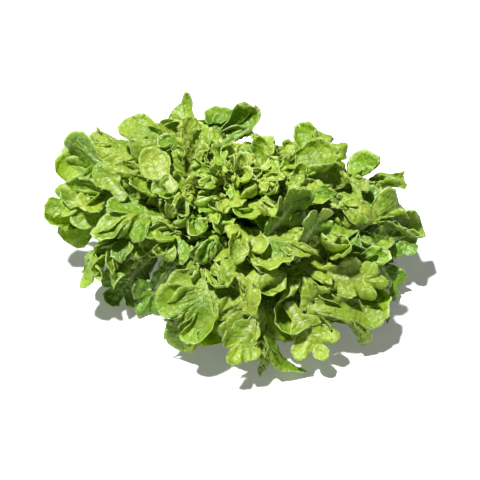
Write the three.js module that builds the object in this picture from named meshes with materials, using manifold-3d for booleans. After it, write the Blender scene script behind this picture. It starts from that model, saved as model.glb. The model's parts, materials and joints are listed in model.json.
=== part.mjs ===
// Green oak leaf lettuce: one loose head, cut at the foot and standing on the cut.
// A short stem carries every leaf. The leaves follow a spiral from the lowest, widest and longest
// to the small upright ones of the heart. Each leaf has a thick pale midrib, round lobes parted by
// deep cuts, and a waved edge. Millimetres, +Z up, origin at the middle of the cut face.
import * as THREE from "three";
import { mergeVertices } from "three/addons/utils/BufferGeometryUtils.js";
import Module from "manifold-3d";

const { clamp, degToRad, lerp, smoothstep } = THREE.MathUtils;
const WELD_DISTANCE = 1e-4;

// Stem: a stub with a cut face below and a cone above, which the leaf roots climb
const CUT_RADIUS = 15;
const STEM_WAIST_HEIGHT = 9;
const STEM_FLESH = 2;
const STEM_TIP_ROUND = 2.5;
const STEM_SIDES = 20;
const ROOT_CONE_STEPS = 6;
const ROOT_RADIUS_LOW = 17;
const ROOT_RADIUS_TOP = 2;
const ROOT_HEIGHT_LOW = 14;
const ROOT_HEIGHT_TOP = 48;
const ROOT_CLEARANCE = 0.3;

// Spiral: each leaf stands one golden angle round from the last
const LEAF_COUNT = 47;
const GOLDEN_ANGLE = Math.PI * (3 - Math.sqrt(5));
const FIRST_AZIMUTH = degToRad(276);
const HEAD_STRETCH_X = 1.04;
const HEAD_STRETCH_Y = 0.95;

// Bowls: leaf roots rise at this slope and bend down by this much per millimetre
const RISE_OUTER = degToRad(30);
const RISE_INNER = degToRad(87);
const RISE_POWER = 1.5;
const DROOP_OUTER = degToRad(0.44);
const DROOP_INNER = degToRad(1);
const DROOP_POWER = 1.5;

// Leaves on the side at this azimuth stand up more: they bend by this share of the usual
const STAND_AZIMUTH = degToRad(100);
const STAND_DROOP = 0.5;

// Slow waves that cross the whole head, and the distances from its middle over which they set in
const STIR_WAVES = 6;
const STIR_SIZE = 2.2;
const STIR_LENGTH = 62;
const STIR_SPREAD = 0.3;
const STIR_CENTRE_HEIGHT = 30;
const STIR_FROM = 15;
const STIR_FULL = 45;

// Leaf sizes, outermost and innermost
const LENGTH_OUTER = 131;
const LENGTH_INNER = 56;
const LENGTH_POWER = 1.7;
const LENGTH_SPREAD = 0.06;
const VEIN_SHARE = 0.33;
const VEIN_SPREAD = 0.1;
const LEAF_SWEEP = degToRad(18);
const PETIOLE_HALF_WIDTH = 5;
const MOST_HALF_ANGLE = degToRad(40);

// Places round the head where leaves reach further or less far than the rest
const REACH_BUMPS = [
  { name: "dip at the back right", azimuth: 50, spread: 12, change: -0.09 },
  { name: "dip at the back", azimuth: 71, spread: 15, change: -0.4 },
  { name: "low edge of the dip", azimuth: 97, spread: 10, change: -0.24 },
  { name: "sprigs at the back", azimuth: 116, spread: 8, change: 0.1 },
  { name: "long leaf at the back left", azimuth: 151, spread: 10, change: 0.3 },
  { name: "bulge at the left", azimuth: 172, spread: 13, change: 0.03 },
  { name: "dip at the front left", azimuth: 231, spread: 20, change: -0.4 },
  { name: "front tongue", azimuth: 286, spread: 15, change: 0.15 },
  { name: "bulge at the right", azimuth: 336, spread: 12, change: 0.08 },
];

// Leaf outline: lobes along each side, counted from the petiole to half of the one at the tip, and
// where the rows of points cross each lobe
const LOBES_OUTER = 4.5;
const LOBES_INNER = 3.5;
const FEWER_LOBES_FROM = 0.4;
const LOBE_STOPS = [0, 0.33, 0.67];
const PETIOLE_ROWS = 2;
const HALF_COLUMNS = 2;
const CUT_DEPTH = 0.6;
const LOBE_ROUNDNESS = 0.5;
const PETIOLE_SHARE = 0.3;
const MIDRIB_SHARE = 0.76;
const VEIN_BUNCHING = 1.4;
const SWELL_FROM = -0.2;
const FULLEST = 0.55;
const TIP_SHARE = 0.85;
const VEIN_LEAN = degToRad(15);
const LEAN_POWER = 2.6;

// Waves: the edge leaves its bowl by this share of the step from one leaf to the next
const WAVE_STEPS_OUTER = 3.2;
const WAVE_STEPS_INNER = 1.4;
const CALMER = 0.85;
const CALMEST = 0.02;
const CUP_STEPS = 0.3;
const WAVE_POWER = 1.6;
const FULL_WAVES_FROM = 0.5;

// Thickness: even blade, with the midrib standing out of its underside
const BLADE_THICKNESS = 1;
const MIDRIB_DEPTH_OUTER = 3;
const MIDRIB_DEPTH_INNER = 0.2;

const wasm = await Module();
wasm.setup();

// A repeatable draw from -1 to 1 for leaf number index; each kind of draw has its own root.
function vary(index, root) {
  const turns = (index + 1) * Math.sqrt(root);
  return 2 * (turns - Math.floor(turns)) - 1;
}

function toSolid(geometry) {
  const bare = new THREE.BufferGeometry();
  bare.setAttribute("position", geometry.getAttribute("position"));
  bare.setIndex(geometry.getIndex());
  const merged = mergeVertices(bare, WELD_DISTANCE);
  return new wasm.Manifold(
    new wasm.Mesh({
      numProp: 3,
      vertProperties: merged.getAttribute("position").array,
      triVerts: new Uint32Array(merged.getIndex().array),
    }),
  );
}

function toGeometry(solid) {
  const mesh = solid.getMesh();
  const geometry = new THREE.BufferGeometry();
  geometry.setAttribute("position", new THREE.BufferAttribute(mesh.vertProperties, 3));
  geometry.setIndex(new THREE.BufferAttribute(mesh.triVerts, 1));
  geometry.computeVertexNormals();
  return geometry;
}

function largestBody(solid) {
  return solid.decompose().reduce((kept, body) => (body.volume() > kept.volume() ? body : kept));
}

// The stem, turned about its axis, grown by margin on its sides and top.
function stemGeometry(margin) {
  const grown = STEM_FLESH + margin;
  const profile = [new THREE.Vector2(0, -margin), new THREE.Vector2(CUT_RADIUS + margin, -margin)];
  profile.push(new THREE.Vector2(ROOT_RADIUS_LOW + grown, STEM_WAIST_HEIGHT));
  for (let step = 0; step <= ROOT_CONE_STEPS; step++) {
    const layer = step / ROOT_CONE_STEPS;
    const radius = lerp(ROOT_RADIUS_LOW, ROOT_RADIUS_TOP, layer);
    const height = lerp(ROOT_HEIGHT_LOW, ROOT_HEIGHT_TOP, layer);
    profile.push(new THREE.Vector2(radius + grown, height));
  }
  profile.push(new THREE.Vector2(ROOT_RADIUS_TOP, ROOT_HEIGHT_TOP + STEM_TIP_ROUND + margin));
  profile.push(new THREE.Vector2(0, ROOT_HEIGHT_TOP + STEM_TIP_ROUND + margin));
  return new THREE.LatheGeometry(profile, STEM_SIDES).rotateX(Math.PI / 2);
}

// Nested bowls: no two of them meet, so leaves that keep to their own bowls stay clear of each other.
// layer runs from 0, the lowest bowl, to 1, the innermost; along is measured up the bowl from its root.
function bowlPoint(layer, along, azimuth) {
  const rise = bowlRise(layer);
  const droop = bowlDroop(layer, azimuth);
  const slope = rise - droop * along;
  const radius = bowlRadius(layer, along, azimuth);
  const root = lerp(ROOT_HEIGHT_LOW, ROOT_HEIGHT_TOP, layer);
  const height = root + (Math.cos(slope) - Math.cos(rise)) / droop;
  const x = HEAD_STRETCH_X * radius * Math.cos(azimuth);
  const y = HEAD_STRETCH_Y * radius * Math.sin(azimuth);
  return stirred(new THREE.Vector3(x, y, height));
}

// Moves a point by a few slow waves that cross the head, so that no two sides of it grow alike.
function stirred(point) {
  const distance = Math.hypot(point.x, point.y, point.z - STIR_CENTRE_HEIGHT);
  const moved = new THREE.Vector3();
  for (let wave = 0; wave < STIR_WAVES; wave++) {
    const heading = new THREE.Vector3(vary(wave, 13), vary(wave, 17), vary(wave, 19)).normalize();
    const push = new THREE.Vector3(vary(wave, 23), vary(wave, 29), vary(wave, 31));
    const turns = point.dot(heading) / (STIR_LENGTH * (1 + STIR_SPREAD * vary(wave, 37)));
    const swing = Math.sin(2 * Math.PI * turns + Math.PI * vary(wave, 41));
    moved.addScaledVector(push, STIR_SIZE * swing);
  }
  return point.addScaledVector(moved, smoothstep(distance, STIR_FROM, STIR_FULL));
}

function bowlRise(layer) {
  return lerp(RISE_OUTER, RISE_INNER, layer ** RISE_POWER);
}

function bowlDroop(layer, azimuth) {
  const stand = (1 + Math.cos(azimuth - STAND_AZIMUTH)) / 2;
  return lerp(DROOP_OUTER, DROOP_INNER, layer ** DROOP_POWER) * lerp(1, STAND_DROOP, stand);
}

function bowlRadius(layer, along, azimuth) {
  const rise = bowlRise(layer);
  const droop = bowlDroop(layer, azimuth);
  const root = lerp(ROOT_RADIUS_LOW, ROOT_RADIUS_TOP, layer);
  return root + (Math.sin(rise) - Math.sin(rise - droop * along)) / droop;
}

// How far leaves at this azimuth reach, as a share of the usual length.
function reach(azimuth) {
  return REACH_BUMPS.reduce((share, bump) => {
    const turn = azimuth - degToRad(bump.azimuth);
    const away = Math.atan2(Math.sin(turn), Math.cos(turn)) / degToRad(bump.spread);
    return share + bump.change * Math.exp(-away * away);
  }, 1);
}

// Everything that makes leaf number index differ from the others.
function leafTraits(index) {
  const layer = (index + 0.5) / LEAF_COUNT;
  const azimuth = FIRST_AZIMUTH + index * GOLDEN_ANGLE;
  const usual = lerp(LENGTH_OUTER, LENGTH_INNER, layer ** LENGTH_POWER);
  const length = usual * reach(azimuth) * (1 + LENGTH_SPREAD * vary(index, 2));
  const veinLength = length * VEIN_SHARE * (1 + VEIN_SPREAD * vary(index, 3));
  const wavePhase = Math.PI * vary(index, 5);
  const ribDepth = lerp(MIDRIB_DEPTH_OUTER, MIDRIB_DEPTH_INNER, layer);
  const waveSteps = lerp(WAVE_STEPS_OUTER, WAVE_STEPS_INNER, layer);
  const lobes = layer < FEWER_LOBES_FROM ? LOBES_OUTER : LOBES_INNER;
  const sweep = LEAF_SWEEP * vary(index, 7);
  return { layer, azimuth, length, veinLength, lobes, sweep, wavePhase, waveSteps, ribDepth };
}

// Length of the side vein at lobe count lobe, from the midrib to the edge of the blade.
function veinLength(leaf, lobe) {
  if (lobe <= 0) return PETIOLE_HALF_WIDTH;
  const share = lobe / leaf.lobes;
  const swell = smoothstep(share, SWELL_FROM, FULLEST);
  const fullness = swell * lerp(1, TIP_SHARE, smoothstep(share, FULLEST, 1));
  const scallop = Math.abs(Math.sin(Math.PI * lobe)) ** LOBE_ROUNDNESS;
  const lobed = leaf.veinLength * fullness * (1 - CUT_DEPTH + CUT_DEPTH * scallop);
  return Math.max(PETIOLE_HALF_WIDTH, lobed);
}

// A point of the blade. lobe counts lobes from the petiole (negative down the petiole) to the tip,
// across runs from 0 on the midrib to 1 on the edge, and side is -1 or 1. Side veins lean forward
// more and more towards the tip, where they fan out into the last lobe.
function bladePoint(leaf, lobe, across, side) {
  const share = lobe / leaf.lobes;
  const upBlade = share > 0 ? 1 - (1 - share) ** VEIN_BUNCHING : share;
  const start = leaf.length * MIDRIB_SHARE * (PETIOLE_SHARE + (1 - PETIOLE_SHARE) * upBlade);
  const lean = lerp(VEIN_LEAN, Math.PI / 2, Math.max(0, share) ** LEAN_POWER);
  const out = across * veinLength(leaf, lobe);
  const along = Math.max(0, start + out * Math.sin(lean));
  const sideways = out * Math.cos(lean);
  const radius = bowlRadius(leaf.layer, along, leaf.azimuth);
  const most = MOST_HALF_ANGLE * radius;
  const turn = (side * most * Math.tanh(sideways / most)) / radius;
  const phase = leaf.wavePhase + side * (leaf.lobes - lobe);
  const wave = leaf.waveSteps * Math.sin(Math.PI * lobe + phase) + CUP_STEPS;
  const ruffle = wave * across ** WAVE_POWER * smoothstep(share, 0, FULL_WAVES_FROM);
  const layer = clamp(leaf.layer + ruffle / LEAF_COUNT, 0, 1);
  const swept = leaf.azimuth + leaf.sweep * (along / leaf.length) ** 2;
  return bowlPoint(layer, along, swept + turn);
}

// A closed leaf: two like grids of triangles, one for each face, joined by a rim.
function leafGeometry(leaf) {
  const blade = { points: [], ribs: [], triangles: [] };
  const rows = [];
  for (let row = 0; row < PETIOLE_ROWS; row++) {
    const downShare = -PETIOLE_SHARE / (1 - PETIOLE_SHARE);
    rows.push(leaf.lobes * downShare * (1 - row / PETIOLE_ROWS));
  }
  for (let lobe = 0; lobe < leaf.lobes; lobe++) {
    for (const stop of LOBE_STOPS) rows.push(Math.min(lobe + stop, leaf.lobes));
  }
  const last = rows.length - 1;

  // The two halves share the points of the midrib and of the line from its end to the tip.
  const places = new Map();
  const placeOf = (row, column, side) => {
    const shared = column === 0 || row === last;
    const key = `${row} ${column} ${shared ? 0 : side}`;
    if (!places.has(key)) {
      places.set(key, blade.points.length);
      blade.points.push(bladePoint(leaf, rows[row], column / HALF_COLUMNS, side));
      blade.ribs.push(column === 0 ? leaf.ribDepth * (1 - row / last) : 0);
    }
    return places.get(key);
  };
  for (const side of [1, -1]) {
    for (let row = 0; row < last; row++) {
      for (let column = 0; column < HALF_COLUMNS; column++) {
        const inner = placeOf(row, column, side);
        const outer = placeOf(row, column + 1, side);
        const nextInner = placeOf(row + 1, column, side);
        const nextOuter = placeOf(row + 1, column + 1, side);
        const pair = [[inner, nextInner, nextOuter], [inner, nextOuter, outer]];
        for (const [a, b, c] of pair) blade.triangles.push(side > 0 ? [a, c, b] : [a, b, c]);
      }
    }
  }
  return thicken(blade);
}

// Gives a sheet of triangles its two faces and the rim between them.
function thicken({ points, ribs, triangles }) {
  const normals = points.map(() => new THREE.Vector3());
  const edges = new Map();
  for (const [a, b, c] of triangles) {
    const ab = points[b].clone().sub(points[a]);
    const ac = points[c].clone().sub(points[a]);
    const normal = ab.cross(ac);
    for (const corner of [a, b, c]) normals[corner].add(normal);
    for (const [from, to] of [[a, b], [b, c], [c, a]]) {
      if (!edges.delete(`${to} ${from}`)) edges.set(`${from} ${to}`, [from, to]);
    }
  }
  const count = points.length;
  const half = BLADE_THICKNESS / 2;
  const tops = points.map((p, i) => p.clone().addScaledVector(normals[i].normalize(), half));
  const unders = points.map((p, i) => p.clone().addScaledVector(normals[i], -half - ribs[i]));
  const index = triangles.flatMap(([a, b, c]) => [a, b, c, a + count, c + count, b + count]);
  for (const [from, to] of edges.values()) {
    index.push(from, to + count, to, from, from + count, to + count);
  }
  const geometry = new THREE.BufferGeometry().setFromPoints([...tops, ...unders]);
  geometry.setIndex(index);
  return geometry;
}

// Leaf colours run from deep green outside to pale yellow-green in the heart.
const OUTER_GREEN = new THREE.Color(0x5f8f1f);
const HEART_GREEN = new THREE.Color(0xb9d45a);
const STEM_PALE = new THREE.Color(0xdfe6b8);

function leafMaterial(leaf) {
  const color = OUTER_GREEN.clone().lerp(HEART_GREEN, leaf.layer);
  return new THREE.MeshStandardMaterial({ color, roughness: 0.42, metalness: 0 });
}

// A leaf cut to sit on the stem. Its waves are calmed until it is clear of every leaf below it.
function clearLeaf(traits, placed, stemRoom) {
  for (; traits.waveSteps > CALMEST; traits.waveSteps *= CALMER) {
    const solid = largestBody(toSolid(leafGeometry(traits)).subtract(stemRoom));
    if (!placed.some((other) => solid.intersect(other).volume() > 0)) return solid;
  }
  throw new Error("this leaf meets another even without waves");
}

function makeHead() {
  const head = new THREE.Group();
  head.name = "oak_leaf_lettuce";
  const stem = new THREE.Mesh(
    toGeometry(toSolid(stemGeometry(0))),
    new THREE.MeshStandardMaterial({ color: STEM_PALE, roughness: 0.6, metalness: 0 }),
  );
  stem.name = "stem";
  head.add(stem);
  const stemRoom = toSolid(stemGeometry(ROOT_CLEARANCE));
  const placed = [];
  for (let index = 0; index < LEAF_COUNT; index++) {
    const traits = leafTraits(index);
    const solid = clearLeaf(traits, placed, stemRoom);
    placed.push(solid);
    const leaf = new THREE.Mesh(toGeometry(solid), leafMaterial(traits));
    leaf.name = `leaf_${String(index + 1).padStart(2, "0")}`;
    head.add(leaf);
  }
  return head;
}

export default makeHead();
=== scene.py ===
# Looks of a loose head of green oak leaf lettuce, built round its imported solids. Metres, +Z up.
import json
import math

import bpy
import numpy as np
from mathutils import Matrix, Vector


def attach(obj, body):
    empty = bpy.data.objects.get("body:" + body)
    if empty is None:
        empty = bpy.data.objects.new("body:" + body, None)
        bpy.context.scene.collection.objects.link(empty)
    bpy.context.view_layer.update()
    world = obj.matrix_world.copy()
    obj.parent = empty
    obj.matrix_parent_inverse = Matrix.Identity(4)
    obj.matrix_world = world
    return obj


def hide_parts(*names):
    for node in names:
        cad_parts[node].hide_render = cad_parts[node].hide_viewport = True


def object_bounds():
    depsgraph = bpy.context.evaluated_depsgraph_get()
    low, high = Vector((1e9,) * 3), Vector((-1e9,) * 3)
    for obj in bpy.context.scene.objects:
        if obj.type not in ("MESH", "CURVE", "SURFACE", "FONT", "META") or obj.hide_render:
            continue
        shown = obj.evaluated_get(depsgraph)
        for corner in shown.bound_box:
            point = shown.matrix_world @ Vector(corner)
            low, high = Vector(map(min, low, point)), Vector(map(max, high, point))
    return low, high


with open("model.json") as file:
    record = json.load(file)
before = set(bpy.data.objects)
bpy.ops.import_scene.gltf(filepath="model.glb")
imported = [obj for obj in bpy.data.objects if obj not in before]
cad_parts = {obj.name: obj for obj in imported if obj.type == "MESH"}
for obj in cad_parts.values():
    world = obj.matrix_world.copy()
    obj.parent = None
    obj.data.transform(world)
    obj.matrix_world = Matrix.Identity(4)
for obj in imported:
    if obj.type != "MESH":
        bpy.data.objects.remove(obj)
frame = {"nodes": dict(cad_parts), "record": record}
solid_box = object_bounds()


# Stem
# The short stub that every leaf grows from, cut flat with a knife at the foot. Pale, moist flesh with
# a browned cut face. It keeps the solid's own shape, because only its foot ever shows.

STEM_FLESH = (0.52, 0.60, 0.26, 1)
STEM_STREAK = (0.66, 0.72, 0.42, 1)
STEM_CUT_BROWN = (0.30, 0.20, 0.08, 1)
STEM_STREAKS_PER_METRE = 260
STEM_STREAK_RANGE = (0.35, 0.65)
STEM_STREAK_HEIGHT = 0.001
STEM_RELIEF_STRENGTH = 0.5
STEM_STAIN_RANGE = (0.3, 0.7)
STEM_CUT_STAIN_HEIGHT = 0.004
STEM_ROUGHNESS = 0.45
STEM_STREAK_ROUGHNESS = 0.2


def add_node(tree, kind, settings=None, sockets=None, output=0):
    """Adds a node, sets its settings, then its sockets, and gives the output asked for as a Wire."""
    node = tree.nodes.new(kind)
    for name, value in (settings or {}).items():
        setattr(node, name, value)
    for name, value in (sockets or {}).items():
        if isinstance(value, Wire):
            tree.links.new(value.socket, node.inputs[name])
        else:
            node.inputs[name].default_value = value
    return Wire(node.outputs[output])


class Wire:
    """A node's output. Sums, differences and products of wires and numbers add Math nodes."""

    def __init__(self, socket):
        self.socket = socket
        self.tree = socket.id_data

    def maths(self, operation, first, second):
        return add_node(self.tree, "ShaderNodeMath", {"operation": operation}, {0: first, 1: second})

    def __add__(self, other):
        return self.maths("ADD", self, other)

    def __radd__(self, other):
        return self.maths("ADD", other, self)

    def __sub__(self, other):
        return self.maths("SUBTRACT", self, other)

    def __rsub__(self, other):
        return self.maths("SUBTRACT", other, self)

    def __mul__(self, other):
        return self.maths("MULTIPLY", self, other)

    def __rmul__(self, other):
        return self.maths("MULTIPLY", other, self)

    def eased(self, low, high):
        """0 below low and 1 above high, with a smooth step between; low may be the larger."""
        settings = {"interpolation_type": "SMOOTHSTEP"}
        sockets = {"Value": self}
        flip = low > high
        sockets["From Min"], sockets["From Max"] = (high, low) if flip else (low, high)
        step = add_node(self.tree, "ShaderNodeMapRange", settings, sockets)
        return 1 - step if flip else step


def blend_colours(share, first, second):
    """Colour first where share is 0, second where it is 1; the numbers are the node's colour sockets."""
    settings = {"data_type": "RGBA"}
    return add_node(share.tree, "ShaderNodeMix", settings, {0: share, 6: first, 7: second}, 2)


def new_finish(name):
    material = bpy.data.materials.new(name)
    material.use_nodes = True
    material.node_tree.nodes.clear()
    return material, material.node_tree


def add_surface(tree, shader):
    output = tree.nodes.new("ShaderNodeOutputMaterial")
    tree.links.new(shader.socket, output.inputs["Surface"])


def place_in_piece(tree):
    return add_node(tree, "ShaderNodeTexCoord", output="Object")


def noise(tree, place, per_metre, detail, roughness=0.5, output=0):
    sockets = {"Vector": place, "Scale": per_metre, "Detail": detail, "Roughness": roughness}
    return add_node(tree, "ShaderNodeTexNoise", None, sockets, output)


def stem_finish():
    material, tree = new_finish("stem_flesh")
    place = place_in_piece(tree)
    height = add_node(tree, "ShaderNodeSeparateXYZ", None, {0: place}, "Z")
    streaks = noise(tree, place, STEM_STREAKS_PER_METRE, detail=4, roughness=0.6)
    flesh = blend_colours(streaks.eased(*STEM_STREAK_RANGE), STEM_FLESH, STEM_STREAK)
    stain = height.eased(STEM_CUT_STAIN_HEIGHT, 0) * streaks.eased(*STEM_STAIN_RANGE)
    colour = blend_colours(stain, flesh, STEM_CUT_BROWN)
    relief = add_node(
        tree, "ShaderNodeBump", None,
        {"Height": streaks, "Strength": STEM_RELIEF_STRENGTH, "Distance": STEM_STREAK_HEIGHT},
    )
    skin = add_node(
        tree, "ShaderNodeBsdfPrincipled", None,
        {"Base Color": colour, "Roughness": STEM_ROUGHNESS + STEM_STREAK_ROUGHNESS * streaks,
         "Normal": relief},
    )
    add_surface(tree, skin)
    return material


stem = frame["nodes"]["stem"]
stem.data.materials.clear()
stem.data.materials.append(stem_finish())


# Leaves
# Soft, thin, waved blades with round lobes, a pale midrib that stands out of the underside, puckered
# flesh between the veins and a rolled edge. Each grows from the stem one golden angle on from the last,
# on a bowl of its own inside the bowl of the leaf before. Lengths of the mesh are in millimetres.

MM = 0.001
LEAF_COUNT = 47
BETWEEN_SIZE = 0.95
HEART_TIPS = 11
GOLDEN_ANGLE = math.pi * (3 - math.sqrt(5))
FIRST_AZIMUTH = math.radians(276)
HEAD_STRETCH_X = 1.04
HEAD_STRETCH_Y = 0.95

ROOT_RADIUS_LOW = 17
ROOT_RADIUS_TOP = 2
ROOT_HEIGHT_LOW = 14
ROOT_HEIGHT_TOP = 48
RISE_OUTER = math.radians(30)
RISE_INNER = math.radians(87)
RISE_POWER = 1.5
DROOP_OUTER = math.radians(0.44)
DROOP_INNER = math.radians(1.0)
DROOP_POWER = 1.5
STAND_AZIMUTH = math.radians(100)
STAND_DROOP = 0.5

LENGTH_OUTER = 131
LENGTH_INNER = 56
LENGTH_POWER = 1.7
LENGTH_LEAST = 46
LENGTH_SPREAD = 0.06
VEIN_SHARE = 0.33
VEIN_SPREAD = 0.1
LEAF_SWEEP = math.radians(18)
LEAF_TURN = math.radians(32)
LEAF_FOLD = math.radians(18)
PETIOLE_HALF_WIDTH = 5
MOST_HALF_ANGLE = math.radians(40)

STIR_WAVES = 6
STIR_SIZE = 2.2
STIR_LENGTH = 62
STIR_SPREAD = 0.3
STIR_CENTRE_HEIGHT = 30
STIR_FROM = 15
STIR_FULL = 45

# Places round the head where leaves reach further or less far: azimuth and spread in degrees, and the
# change as a share of the length
REACH_BUMPS = {
    "dip at the back right": (50, 12, -0.09),
    "dip at the back": (71, 15, -0.4),
    "low edge of the dip": (97, 10, -0.24),
    "sprigs at the back": (116, 8, 0.1),
    "long leaf at the back left": (151, 10, 0.3),
    "bulge at the left": (172, 13, 0.03),
    "dip at the front left": (231, 20, -0.4),
    "front tongue": (286, 15, 0.15),
    "bulge at the right": (336, 12, 0.08),
}

# Leaves that stand out of the head one by one: root, tip, the way the face turns, lobes along a side,
# width of a half as a share of the length, and tone: below 0 a deeper colour that lets less light
# through, painted shade for leaves set in shadow, and above 0 a brighter one, partly pale flesh and
# partly painted light
PLACED_LEAVES = {
    "leaf_middle": {
        "dark leaf beside the heart": ((13, -62, 64), (57, -27, 107), (0.2, -1, 0), 3.5, 0.3, -1.5),
        "dark leaf before the heart": ((42, -68, 66), (70, -42, 93), (0.2, -1, 0), 2.5, 0.38, -1.5),
        "dull leaf at the back left": ((-98, 24, 74), (-134, 64, 70), (0.35, -1, 0.1), 0.5, 0.42, -2.2),
        "round leaf at the left": ((-87, -8, 72), (-107, 17, 84), (-0.2, -0.5, 0.85), 0.5, 0.36, 0.6),
        "wide leaf at the left": ((-46, -17, 90), (-70, 18, 99), (-0.2, -0.5, 0.85), 0.5, 0.38, 0.6),
        "waved leaf at the right": ((42, -70, 56), (120, -72, 44), (0.1, -0.6, 0.8), 3.5, 0.26, 0.6),
        "pale leaf at the front": ((20, -102, 47), (0, -130, 27), (0, -0.7, 0.7), 2.5, 0.55, 0.9),
        "short leaf at the front": ((40, -90, 42), (66, -120, 16), (0.1, -0.7, 0.7), 2.5, 0.5, 0.5),
        "faded leaf at the left": ((-116, 4, 64), (-147, 8, 50), (-0.2, -0.7, 0.7), 1.5, 0.55, -0.5),
        "leaf at the back right": ((62, 27, 71), (87, 55, 72), (0.2, -0.5, 0.85), 1.5, 0.5, 0.4),
    },
    # The outer leaves' deeper colours paint more shade on these: two hang in the hollow under the front
    # left of the head as dark sheets of painted shade, two sit at its shaded right edge
    "leaf_outer": {
        "dark leaf at the right": ((110, -10, 40), (126, -48, 8), (0.5, -0.8, 0.2), 2.5, 0.4, -1.5),
        "dull leaf at the right": ((112, 0, 52), (142, -24, 30), (0.4, -0.8, 0.4), 2.5, 0.4, -1.8),
        "low leaf at the front left": ((-62, -30, 40), (-98, -55, 8), (-0.2, -0.9, 0.3), 2.5, 0.45, -2.2),
        "low leaf at the front": ((-45, -40, 40), (-73, -62, 6), (-0.1, -0.9, 0.3), 2.5, 0.45, -2.2),
    },
}
PLACED_UNREST = 0.5
PLACED_FOLD = math.radians(12)
PLACED_ROWS = 60

LOBES_OUTER = 4.5
LOBES_INNER = 3.5
FEWER_LOBES_FROM = 0.4
ROWS_PER_LOBE = 26
PETIOLE_ROWS = 8
HALF_COLUMNS = 9
CUT_DEPTH = 0.75
LOBE_ROUNDNESS = 0.5
LOBE_FLARE = 0.1
SMALL_LOBES = 3
SMALL_CUT_OUTER = 0.05
SMALL_CUT_INNER = 0.16
SMALL_ROUNDNESS = 0.6
PETIOLE_SHARE = 0.3
MIDRIB_SHARE = 0.76
VEIN_BUNCHING = 1.4
SWELL_FROM = -0.2
FULLEST = 0.55
TIP_SHARE = 0.85
VEIN_LEAN = math.radians(15)
LEAN_POWER = 2.6
BLADE_FULL_FROM = 0.3
LEAST_LENGTH = 1e-9
LEAST_LOBE_STEP = 1e-3

WAVE_STEPS_OUTER = 3.2
WAVE_STEPS_INNER = 1.4
CUP_STEPS = 0.3
WAVE_POWER = 1.6
FULL_WAVES_FROM = 0.5

# How far lobes roll down (up if negative), on average and either way, and how far small lobes do
ROLL_OUTER = math.radians(12)
ROLL_INNER = math.radians(15)
ROLL_SPREAD = math.radians(75)
ROLL_FROM = 0.35
CURL_OUTER = math.radians(55)
CURL_INNER = math.radians(70)
CURL_FROM = 0.72

# Domes, twists and puckers lift the blade; ranges are shares of the way from the midrib to the edge
DOME_OUTER = 10.0
DOME_INNER = 5.0
DOME_RANGE = (0.15, 0.9)
SMALL_DOME_OUTER = 1.8
SMALL_DOME_INNER = 0.9
SMALL_DOME_RANGE = (0.6, 1)
TWIST = 8.0
TWIST_POWER = 1.5
PUCKER_HEIGHT = 0.6
PUCKER_LENGTH = 6
PUCKER_LENGTH_SPREAD = (0.7, 1.5)
PUCKER_WAVES = 7
PUCKER_RANGE = (0, 0.3)

HALF_THICKNESS = 0.2
MIDRIB_DEPTH_OUTER = 3
MIDRIB_DEPTH_INNER = 0.2
MIDRIB_HALF_WIDTH = 2.6
SEED = 41


def mix(first, second, share):
    return first + (second - first) * share


def ease(value, low, high):
    share = np.clip((value - low) / (high - low), 0, 1)
    return share * share * (3 - 2 * share)


def vary(index, root):
    """A repeatable draw from -1 to 1 for leaf number index; each kind of draw has its own root."""
    turns = (index + 1) * math.sqrt(root)
    return 2 * (turns - math.floor(turns)) - 1


def bowl_rise(layer):
    return mix(RISE_OUTER, RISE_INNER, layer**RISE_POWER)


def bowl_droop(layer, azimuth):
    """How fast leaves bend outward; those near the standing side bend less."""
    stand = (1 + np.cos(azimuth - STAND_AZIMUTH)) / 2
    return mix(DROOP_OUTER, DROOP_INNER, layer**DROOP_POWER) * mix(1, STAND_DROOP, stand)


def bowl_radius(layer, along, azimuth):
    rise = bowl_rise(layer)
    droop = bowl_droop(layer, azimuth)
    root = mix(ROOT_RADIUS_LOW, ROOT_RADIUS_TOP, layer)
    return root + (np.sin(rise) - np.sin(rise - droop * along)) / droop


def bowl_points(layer, along, azimuth):
    """Points of the nested bowls: layer 0 is the lowest bowl and 1 the innermost."""
    rise = bowl_rise(layer)
    droop = bowl_droop(layer, azimuth)
    radius = bowl_radius(layer, along, azimuth)
    root = mix(ROOT_HEIGHT_LOW, ROOT_HEIGHT_TOP, layer)
    height = root + (np.cos(rise - droop * along) - np.cos(rise)) / droop
    x = HEAD_STRETCH_X * radius * np.cos(azimuth)
    y = HEAD_STRETCH_Y * radius * np.sin(azimuth)
    return stirred(np.stack([x, y, height], axis=-1))


def stirred(points):
    """Points moved by a few slow waves that cross the head, so that no two sides of it grow alike."""
    distance = np.linalg.norm(points - np.array([0, 0, STIR_CENTRE_HEIGHT]), axis=-1, keepdims=True)
    moved = np.zeros_like(points)
    for wave in range(STIR_WAVES):
        heading = unit(np.array([vary(wave, 13), vary(wave, 17), vary(wave, 19)]))
        push = STIR_SIZE * np.array([vary(wave, 23), vary(wave, 29), vary(wave, 31)])
        turns = (points @ heading)[..., None] / (STIR_LENGTH * (1 + STIR_SPREAD * vary(wave, 37)))
        moved += push * np.sin(2 * math.pi * turns + math.pi * vary(wave, 41))
    return points + moved * ease(distance, STIR_FROM, STIR_FULL)


def reach(azimuth):
    share = 1
    for place, spread, change in REACH_BUMPS.values():
        turn = azimuth - math.radians(place)
        away = math.atan2(math.sin(turn), math.cos(turn)) / math.radians(spread)
        share += change * math.exp(-away * away)
    return share


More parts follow.
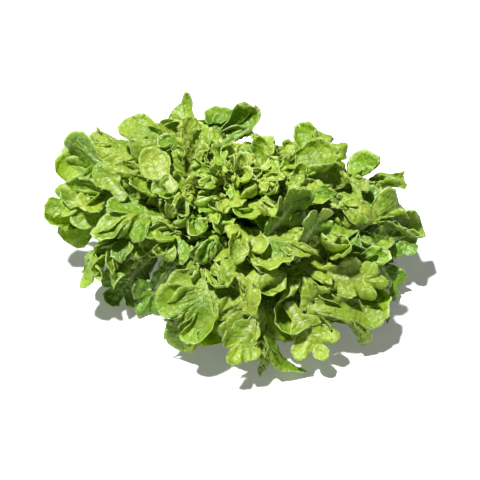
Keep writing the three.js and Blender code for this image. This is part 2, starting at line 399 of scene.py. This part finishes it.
class Leaf:
    """Everything that makes one leaf differ from the others; count is how many leaves lie below it."""

    def __init__(self, count, size=1):
        self.layer = (count + 0.5) / LEAF_COUNT
        self.azimuth = FIRST_AZIMUTH + count * GOLDEN_ANGLE
        usual = max(LENGTH_LEAST, mix(LENGTH_OUTER, LENGTH_INNER, self.layer**LENGTH_POWER))
        self.length = size * usual * reach(self.azimuth) * (1 + LENGTH_SPREAD * vary(count, 2))
        self.vein = self.length * VEIN_SHARE * (1 + VEIN_SPREAD * vary(count, 3))
        self.wave_phase = math.pi * vary(count, 5)
        self.wave_steps = mix(WAVE_STEPS_OUTER, WAVE_STEPS_INNER, self.layer)
        self.lobes = LOBES_OUTER if self.layer < FEWER_LOBES_FROM else LOBES_INNER
        self.sweep = LEAF_SWEEP * vary(count, 7)
        self.turn = LEAF_TURN * vary(count, 11)
        self.fold = LEAF_FOLD * vary(count, 43)
        # A random tone of the whole leaf, which placed leaves replace with painted light and shade
        self.leaf_tone_and_painted_light = vary(count, 47)
        self.unrest = 1
        self.draws = np.random.default_rng(SEED + int(2 * count))
        self.lobe = self.lobe_rows(ROWS_PER_LOBE)
        self.across = np.linspace(0, 1, HALF_COLUMNS + 1)[None, :]

    def lobe_rows(self, rows_per_lobe):
        """Lobe counts of the rows of the mesh: down the petiole, then closer together at each cut."""
        foot = -self.lobes * PETIOLE_SHARE / (1 - PETIOLE_SHARE)
        petiole = np.linspace(foot, 0, PETIOLE_ROWS, endpoint=False)
        steps = np.arange(int(self.lobes * rows_per_lobe) + 1)
        whole, part = np.divmod(steps, rows_per_lobe)
        blade = whole + (1 - np.cos(math.pi * part / rows_per_lobe)) / 2
        return np.concatenate([petiole, blade])[:, None]

    def per_lobe(self, values, split=1):
        """Smooth values along the rows from one value for each lobe, or for each split-th of a lobe."""
        place = self.lobe * split - 0.5
        below = np.floor(place)
        share = ease(place, below, below + 1)
        below = np.clip(below.astype(int), 0, len(values) - 1)
        above = np.clip(np.floor(place).astype(int) + 1, 0, len(values) - 1)
        return mix(values[below], values[above], share)

    def draw_lobes(self, split=1):
        """One draw for each lobe of the two halves, which share the lobe at the tip."""
        count = math.ceil(self.lobes * split)
        left = self.draws.uniform(-1, 1, count)
        right = self.draws.uniform(-1, 1, count)
        right[-1] = left[-1]
        return {-1: self.per_lobe(left, split), 1: self.per_lobe(right, split)}

    def laid(self, along, sideways, side):
        """Points of one half on the bowl of the leaf, which the waves of the edge leave either way."""
        radius = bowl_radius(self.layer, along, self.azimuth)
        most = MOST_HALF_ANGLE * radius
        turn = side * most * np.tanh(sideways / most) / radius
        phase = self.wave_phase + side * (self.lobes - self.lobe)
        wave = self.wave_steps * np.sin(math.pi * self.lobe + phase) + CUP_STEPS
        waved = self.across**WAVE_POWER * ease(self.lobe / self.lobes, 0, FULL_WAVES_FROM)
        layer = np.maximum(self.layer + wave * waved / LEAF_COUNT, 0)
        swept = self.azimuth + self.sweep * (along / self.length) ** 2
        return bowl_points(layer, along, swept + turn)


class PlacedLeaf(Leaf):
    """A nearly flat leaf that runs from a given root to a given tip."""

    def __init__(self, count, root, tip, facing, lobes, width, leaf_tone_and_painted_light):
        super().__init__(count)
        path = np.subtract(tip, root)
        self.root = np.array(root)
        self.length = np.linalg.norm(path)
        self.heading = unit(path)
        self.sideways = unit(np.cross(self.heading, facing))
        self.vein = self.length * width
        self.lobes = lobes
        self.lobe = self.lobe_rows(round(PLACED_ROWS / lobes))
        self.turn = 0
        self.fold = PLACED_FOLD
        # The tone from the table: painted shade below 0, partly painted light above 0
        self.leaf_tone_and_painted_light = leaf_tone_and_painted_light
        self.unrest = PLACED_UNREST

    def laid(self, along, sideways, side):
        return self.root + along[..., None] * self.heading + side * sideways[..., None] * self.sideways


def vein_lengths(leaf):
    share = leaf.lobe / leaf.lobes
    fullness = ease(share, SWELL_FROM, FULLEST) * mix(1, TIP_SHARE, ease(share, FULLEST, 1))
    scallop = np.abs(np.sin(math.pi * leaf.lobe)) ** LOBE_ROUNDNESS
    small = np.abs(np.sin(math.pi * SMALL_LOBES * leaf.lobe)) ** SMALL_ROUNDNESS
    small_cut = mix(SMALL_CUT_OUTER, SMALL_CUT_INNER, leaf.layer)
    edge = (1 - CUT_DEPTH * (1 - scallop)) * (1 - small_cut * (1 - small) * scallop)
    lobed = leaf.vein * fullness * edge
    return np.where(leaf.lobe <= 0, PETIOLE_HALF_WIDTH, np.maximum(PETIOLE_HALF_WIDTH, lobed))


def flat_blade(leaf):
    """How far each point lies up the leaf and to the side of its midrib, before any bending."""
    share = leaf.lobe / leaf.lobes
    up_blade = np.where(share > 0, 1 - np.clip(1 - share, 0, 1) ** VEIN_BUNCHING, share)
    start = leaf.length * MIDRIB_SHARE * (PETIOLE_SHARE + (1 - PETIOLE_SHARE) * up_blade)
    lean = mix(VEIN_LEAN, math.pi / 2, np.maximum(0, share) ** LEAN_POWER)
    out = leaf.across * vein_lengths(leaf)
    flare = -LOBE_FLARE * leaf.vein * np.sin(2 * math.pi * leaf.lobe) * leaf.across**2
    flare = flare * ease(share, 0, BLADE_FULL_FROM)
    along = np.maximum(0, start + out * np.sin(lean) + flare * np.cos(lean))
    sideways = np.maximum(0, out * np.cos(lean) - flare * np.sin(lean))
    return along, sideways


def unit(vectors):
    return vectors / np.maximum(np.linalg.norm(vectors, axis=-1, keepdims=True), LEAST_LENGTH)


def spun(vectors, axis, angle):
    """Vectors at right angles to an axis, turned about it."""
    return vectors * np.cos(angle) + np.cross(axis, vectors) * np.sin(angle)


def half_blade(leaf, side, roll, curl):
    """One half of the blade, bent: rows up the leaf, columns from the midrib to the edge."""
    share = leaf.lobe / leaf.lobes
    along, sideways = flat_blade(leaf)
    points = leaf.laid(along, sideways, side)

    # The whole width turns about the midrib, more toward the tip
    spine = points[:, :1]
    heading = unit(np.gradient(spine, axis=0))
    lean = ((leaf.turn + side * leaf.fold) * ease(share, 0, 1))[..., None]
    points = spine + spun(points - spine, heading, lean)

    # The strips between columns turn about the line of the edge, so that the edge rolls
    steps = np.diff(points, axis=1)
    upward = np.gradient(points, axis=0)[:, 1:]
    face = side * unit(np.cross(upward, steps))
    axis = unit(np.cross(face, unit(steps)))
    centre = (leaf.across[:, 1:] + leaf.across[:, :-1]) / 2
    angle = roll * ease(centre, ROLL_FROM, 1) + curl * ease(centre, CURL_FROM, 1)
    angle = (angle * ease(share, 0, BLADE_FULL_FROM))[..., None]
    turned = spun(steps, axis, angle)
    rolled = points[:, :1] + np.cumsum(turned, axis=1)
    return np.concatenate([points[:, :1], rolled], axis=1)


def pucker_field(leaf, along, sideways):
    """Low bubbles of flesh between the veins."""
    total = np.zeros(np.broadcast(along, sideways).shape)
    for _ in range(PUCKER_WAVES):
        heading = leaf.draws.uniform(0, math.pi)
        length = PUCKER_LENGTH * leaf.draws.uniform(*PUCKER_LENGTH_SPREAD)
        phase = leaf.draws.uniform(0, 2 * math.pi)
        path = along * math.cos(heading) + sideways * math.sin(heading)
        total += np.sin(2 * math.pi * path / length + phase)
    return total * math.sqrt(2 / PUCKER_WAVES)


def sheet_normals(points, faces):
    corners = points[faces]
    normal = np.cross(corners[:, 2] - corners[:, 0], corners[:, 3] - corners[:, 1])
    total = np.zeros_like(points)
    for corner in range(4):
        np.add.at(total, faces[:, corner], normal)
    return unit(total)


def leaf_sheet(leaf):
    """Points and faces of the closed blade, with what its finish reads kept for each point."""
    along, sideways = flat_blade(leaf)
    share = leaf.lobe / leaf.lobes
    in_blade = ease(share, 0, BLADE_FULL_FROM)
    rolls = leaf.draw_lobes()
    curls = leaf.draw_lobes(SMALL_LOBES)
    twists = leaf.draw_lobes()
    tones = leaf.draw_lobes()
    curl_size = mix(CURL_OUTER, CURL_INNER, leaf.layer)
    dome = mix(DOME_OUTER, DOME_INNER, leaf.layer) * np.abs(np.sin(math.pi * leaf.lobe))
    small_dome = mix(SMALL_DOME_OUTER, SMALL_DOME_INNER, leaf.layer)
    small_dome = small_dome * np.abs(np.sin(math.pi * SMALL_LOBES * leaf.lobe))
    puckered = ease(leaf.across, *PUCKER_RANGE) * in_blade
    halves = {}
    lifts = {}
    for side in (-1, 1):
        roll = mix(ROLL_OUTER, ROLL_INNER, leaf.layer) + ROLL_SPREAD * rolls[side]
        curl = curl_size * curls[side]
        halves[side] = half_blade(leaf, side, roll * leaf.unrest, curl * leaf.unrest)
        twist = TWIST * twists[side] * np.sin(2 * math.pi * leaf.lobe) * leaf.across**TWIST_POWER
        lift = dome * ease(leaf.across, *DOME_RANGE)
        lift = lift + small_dome * ease(leaf.across, *SMALL_DOME_RANGE) + twist
        pucker = pucker_field(leaf, along, sideways)
        lifts[side] = (lift * in_blade + PUCKER_HEIGHT * pucker * puckered) * leaf.unrest

    def whole(left, right):
        """Both halves as one grid, edge to edge, which agree on the line to the tip."""
        grid = np.concatenate([left[:, :0:-1], right], axis=1)
        grid[-1] = (grid[-1] + grid[-1, ::-1]) / 2
        return grid

    def both(half):
        half = np.broadcast_to(half, along.shape)
        return whole(half, half).ravel()

    lobe_width = np.linalg.norm(np.gradient(halves[1], axis=0), axis=-1)
    lobe_width = lobe_width / np.maximum(np.gradient(leaf.lobe[:, 0])[:, None], LEAST_LOBE_STEP)
    from_vein = np.abs(leaf.lobe - np.floor(leaf.lobe) - 0.5)
    kept = {
        "edge": both(leaf.across),
        "up_leaf": both(share),
        "rib_gap": both(leaf.across * vein_lengths(leaf)),
        "vein_gap": both(np.where(leaf.lobe > 0, from_vein * lobe_width, lobe_width)),
        "tone": whole(*[np.broadcast_to(tones[side], along.shape) for side in (-1, 1)]).ravel(),
        "leaf_tone_and_painted_light": both(leaf.leaf_tone_and_painted_light),
    }
    points = whole(halves[-1], halves[1]).reshape(-1, 3)
    lift = whole(lifts[-1], lifts[1]).reshape(-1, 1)

    # The two halves of the last row lie on each other and share their points
    rows = len(leaf.lobe)
    wide = 2 * HALF_COLUMNS + 1
    index = np.arange(rows * wide).reshape(rows, wide)
    index[-1, HALF_COLUMNS + 1:] = index[-1, :HALF_COLUMNS][::-1]
    corners = [index[:-1, :-1], index[:-1, 1:], index[1:, 1:], index[1:, :-1]]
    used, faces = np.unique(np.stack(corners, axis=-1), return_inverse=True)
    faces = faces.reshape(-1, 4)
    points = points[used]
    points = points + sheet_normals(points, faces) * lift[used]
    normals = sheet_normals(points, faces)

    # The midrib stands out of the underside and dies away toward the tip
    rib_depth = mix(MIDRIB_DEPTH_OUTER, MIDRIB_DEPTH_INNER, min(1, leaf.layer))
    rib = rib_depth * np.exp(-((kept["rib_gap"] / MIDRIB_HALF_WIDTH) ** 2))
    rib = (rib * np.clip(1 - kept["up_leaf"], 0, 1))[used, None]
    top = points + normals * HALF_THICKNESS
    under = points - normals * (HALF_THICKNESS + rib)
    count = len(points)

    # Sides of faces that no other face shares join the two skins, and nothing hangs below the floor
    rim = {}
    for start, end in np.stack([faces, np.roll(faces, -1, axis=1)], axis=-1).reshape(-1, 2).tolist():
        if rim.pop((end, start), None) is None:
            rim[start, end] = (end, start, start + count, end + count)
    all_faces = np.concatenate([faces, faces[:, ::-1] + count, np.array(list(rim.values()))])
    kept = {name: np.tile(values[used], 2) for name, values in kept.items()}
    sheet = np.concatenate([top, under])
    sheet[:, 2] = np.maximum(sheet[:, 2], 0)
    return sheet, all_faces, kept


def sheets_piece(name, sheets, slot):
    """One piece of one or more closed blades, with smooth shading and the finish of its slot."""
    faces = []
    start = 0
    for points, corners, _ in sheets:
        faces += (corners + start).tolist()
        start += len(points)
    mesh = bpy.data.meshes.new(name)
    points = np.concatenate([sheet[0] for sheet in sheets])
    mesh.from_pydata((points * MM).tolist(), [], faces)
    mesh.polygons.foreach_set("use_smooth", [True] * len(mesh.polygons))
    for attribute in sheets[0][2]:
        values = np.concatenate([kept[attribute] for _, _, kept in sheets])
        layer = mesh.attributes.new(attribute, "FLOAT", "POINT")
        layer.data.foreach_set("value", values.astype(np.float32))
    mesh.update()
    mesh.materials.append(finishes[slot])
    piece = bpy.data.objects.new(name, mesh)
    bpy.context.scene.collection.objects.link(piece)
    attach(piece, "root")
    return piece


LEAF_FINISHES = {
    "leaf_outer": {"deep": (0.11, 0.24, 0.004, 1), "bright": (0.31, 0.41, 0.04, 1)},
    "leaf_middle": {"deep": (0.14, 0.28, 0.004, 1), "bright": (0.38, 0.47, 0.05, 1)},
    "leaf_heart": {"deep": (0.20, 0.35, 0.008, 1), "bright": (0.46, 0.54, 0.075, 1)},
}
LEAF_PALE = (0.60, 0.68, 0.28, 1)
LEAF_GLOW = (0.52, 0.72, 0.012, 1)
CLOUDS_PER_METRE = 60
CELLS_PER_METRE = 420
CRUMPLES_PER_METRE = 150
CRUMPLE_SHIFT = 0.006
BLISTERS_PER_METRE = 260

# How much lobe tone, the leaf's tone and painted light, and the blisters brighten the flesh, the blisters
# as painted highlight on their tops and painted shade between them, and the range from deep to bright
TONE_SHARE = 0.2
LEAF_TONE_AND_PAINTED_LIGHT_SHARE = 0.2
BLISTER_PAINTED_LIGHT_SHARE = 0.35
FLESH_RANGE = (0.4, 1.1)

# Where the pale lines fade in: gaps in millimetres, the rest as shares of the leaf
RIB_GAPS = (3.0, 0.6)
RIB_FADE = (1.0, 0.2)
VEIN_GAPS = (1.1, 0.2)
VEIN_FADE = (1.0, 0.5)
RIM_RANGE = (0.9, 1.0)
RIB_PALENESS = 0.7
VEIN_PALENESS = 0.15
RIM_PALENESS = 0.5

CELL_RELIEF = 0.3
VEIN_RELIEF = 0.3
RELIEF_STRENGTH = 0.6
RELIEF_HEIGHT = 0.0016
LEAF_ROUGHNESS = 0.4
CELL_ROUGHNESS = 0.14
LEAF_SHINE = 0.6
GLOW_SHARE = 0.4
# Light let through falls with the leaf's tone, which darkens placed leaves below 0 as painted shade
GLOW_BY_LEAF_TONE_AND_PAINTED_LIGHT = 0.12


def kept_value(tree, name):
    return add_node(tree, "ShaderNodeAttribute", {"attribute_name": name}, None, "Fac")


def blister_field(tree, place):
    """1 in the middle of each blister of the flesh, less toward its edge."""
    crumple = noise(tree, place, CRUMPLES_PER_METRE, detail=2, output="Color")
    crumpled = add_node(
        tree, "ShaderNodeVectorMath", {"operation": "MULTIPLY_ADD"},
        {0: crumple, 1: (CRUMPLE_SHIFT, CRUMPLE_SHIFT, CRUMPLE_SHIFT), 2: place},
    )
    sockets = {"Vector": crumpled, "Scale": BLISTERS_PER_METRE}
    gap = add_node(tree, "ShaderNodeTexVoronoi", None, sockets)
    return 1 - gap * gap


def leaf_finish(name, deep, bright):
    """Waxy blistered skin, which lets some of the light through."""
    material, tree = new_finish(name)
    place = place_in_piece(tree)
    edge = kept_value(tree, "edge")
    leaf_tone_and_painted_light = kept_value(tree, "leaf_tone_and_painted_light")
    clouds = noise(tree, place, CLOUDS_PER_METRE, detail=3)
    cells = noise(tree, place, CELLS_PER_METRE, detail=3)
    blisters = blister_field(tree, place)

    # Flesh goes deeper or brighter with the leaf's tone: at random on grown leaves, and on placed leaves
    # as painted shade below 0 and partly painted light above 0
    brightness = clouds + TONE_SHARE * kept_value(tree, "tone") + LEAF_TONE_AND_PAINTED_LIGHT_SHARE * leaf_tone_and_painted_light
    # Blister tops are painted paler as a highlight, and the flesh between them darker as painted shade
    brightness = brightness + BLISTER_PAINTED_LIGHT_SHARE * blisters
    flesh = blend_colours(brightness.eased(*FLESH_RANGE), deep, bright)
    rib = kept_value(tree, "rib_gap").eased(*RIB_GAPS) * kept_value(tree, "up_leaf").eased(*RIB_FADE)
    veins = kept_value(tree, "vein_gap").eased(*VEIN_GAPS) * edge.eased(*VEIN_FADE)
    rim = edge.eased(*RIM_RANGE)
    pale = RIB_PALENESS * rib + VEIN_PALENESS * veins + RIM_PALENESS * rim
    colour = blend_colours(pale, flesh, LEAF_PALE)

    height = blisters + CELL_RELIEF * cells - VEIN_RELIEF * veins
    relief = add_node(
        tree, "ShaderNodeBump", None,
        {"Height": height, "Strength": RELIEF_STRENGTH, "Distance": RELIEF_HEIGHT},
    )
    skin = add_node(
        tree, "ShaderNodeBsdfPrincipled", None,
        {"Base Color": colour, "Roughness": LEAF_ROUGHNESS + CELL_ROUGHNESS * cells, "Normal": relief,
         "Specular IOR Level": LEAF_SHINE},
    )
    glow = add_node(
        tree, "ShaderNodeBsdfTranslucent", None, {"Color": LEAF_GLOW, "Normal": relief}
    )
    # Less light passes through leaves with a low tone, as painted shade on the placed dark leaves
    through = GLOW_SHARE + GLOW_BY_LEAF_TONE_AND_PAINTED_LIGHT * leaf_tone_and_painted_light
    add_surface(tree, add_node(tree, "ShaderNodeMixShader", None, {0: through, 1: skin, 2: glow}))
    return material


finishes = {slot: leaf_finish(slot, **colours) for slot, colours in LEAF_FINISHES.items()}
slots = {part["node"]: part["material_slot"] for part in frame["record"]["subparts"]}
between = {slot: [] for slot in finishes}
for count in range(LEAF_COUNT):
    name = f"leaf_{count + 1:02d}"
    blade = sheets_piece(name + "_blade", [leaf_sheet(Leaf(count))], slots[name])
    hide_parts(name)
    between[slots[name]].append(leaf_sheet(Leaf(count + 0.5, BETWEEN_SIZE)))
for count in range(HEART_TIPS):
    between["leaf_heart"].append(leaf_sheet(Leaf(LEAF_COUNT + count)))

# Placed leaves count on from the middle of the head, which sets their waves and draws
count = LEAF_COUNT / 2
for slot, leaves in PLACED_LEAVES.items():
    for traits in leaves.values():
        between[slot].append(leaf_sheet(PlacedLeaf(count, *traits)))
        count += 1
for slot, sheets in between.items():
    sheets_piece(slot + "_between", sheets, slot)


# Floor, light and camera
# A plain pale floor that gives off a little light, a sun with a soft edge from above, a little to the
# left and behind, a surround that is dim but for a pale band at the horizon, and a camera that looks
# down on the head as the photograph does.

FLOOR_SIZE = 8
FLOOR_GAP = 0.0002
FLOOR_WHITE = (0.72, 0.72, 0.72, 1)
FLOOR_GLOW = 0.22
FLOOR_GRAIN_PER_METRE = 40
FLOOR_ROUGHNESS = 0.7
FLOOR_GRAIN_ROUGHNESS = 0.1
KEY_DIRECTION = Vector((-0.33, 0.12, 1.0))
KEY_ANGLE = math.radians(5)
KEY_STRENGTH = 8.0
SURROUND_WHITE = (1, 1, 1, 1)
SURROUND_STRENGTH = 0.08
HORIZON_STRENGTH = 0.8
HORIZON_HEIGHT = 0.1
CAMERA_ELEVATION = math.radians(44)
CAMERA_DISTANCE = 1.2
VIEW_WIDTH = 0.385
VIEW_TARGET = Vector((0.004, -0.0155, 0.036))
SENSOR_WIDTH = 36


def floor_finish():
    material, tree = new_finish("floor_white")
    grain = noise(tree, place_in_piece(tree), FLOOR_GRAIN_PER_METRE, detail=2)
    paint = add_node(
        tree, "ShaderNodeBsdfPrincipled", None,
        {"Base Color": FLOOR_WHITE, "Roughness": FLOOR_ROUGHNESS + FLOOR_GRAIN_ROUGHNESS * grain,
         "Emission Color": FLOOR_WHITE, "Emission Strength": FLOOR_GLOW},
    )
    add_surface(tree, paint)
    return material


bpy.ops.mesh.primitive_plane_add(size=FLOOR_SIZE, location=(0, 0, solid_box[0].z - FLOOR_GAP))
floor = bpy.context.object
floor.name = "floor"
floor.data.materials.append(floor_finish())

world = bpy.data.worlds.new("studio")
bpy.context.scene.world = world
world.use_nodes = True
sky = world.node_tree
way = add_node(sky, "ShaderNodeTexCoord", output="Generated")
height = add_node(sky, "ShaderNodeSeparateXYZ", None, {0: way}, "Z")
band = (height * height).eased(HORIZON_HEIGHT**2, 0)
strength = SURROUND_STRENGTH + (HORIZON_STRENGTH - SURROUND_STRENGTH) * band
sky.links.new(strength.socket, sky.nodes["Background"].inputs["Strength"])
sky.nodes["Background"].inputs["Color"].default_value = SURROUND_WHITE

key_data = bpy.data.lights.new("key", "SUN")
key_data.angle = KEY_ANGLE
key_data.energy = KEY_STRENGTH
key = bpy.data.objects.new("key", key_data)
key.rotation_euler = (-KEY_DIRECTION).to_track_quat("-Z", "Y").to_euler()
bpy.context.scene.collection.objects.link(key)

back = Vector((0, -math.cos(CAMERA_ELEVATION), math.sin(CAMERA_ELEVATION)))
camera_data = bpy.data.cameras.new("camera")
camera_data.sensor_width = SENSOR_WIDTH
camera_data.lens = SENSOR_WIDTH * CAMERA_DISTANCE / VIEW_WIDTH
camera = bpy.data.objects.new("camera", camera_data)
camera.location = VIEW_TARGET + back * CAMERA_DISTANCE
camera.rotation_euler = (-back).to_track_quat("-Z", "Y").to_euler()
bpy.context.scene.collection.objects.link(camera)
bpy.context.scene.camera = camera
bpy.context.scene.view_settings.view_transform = "Standard"
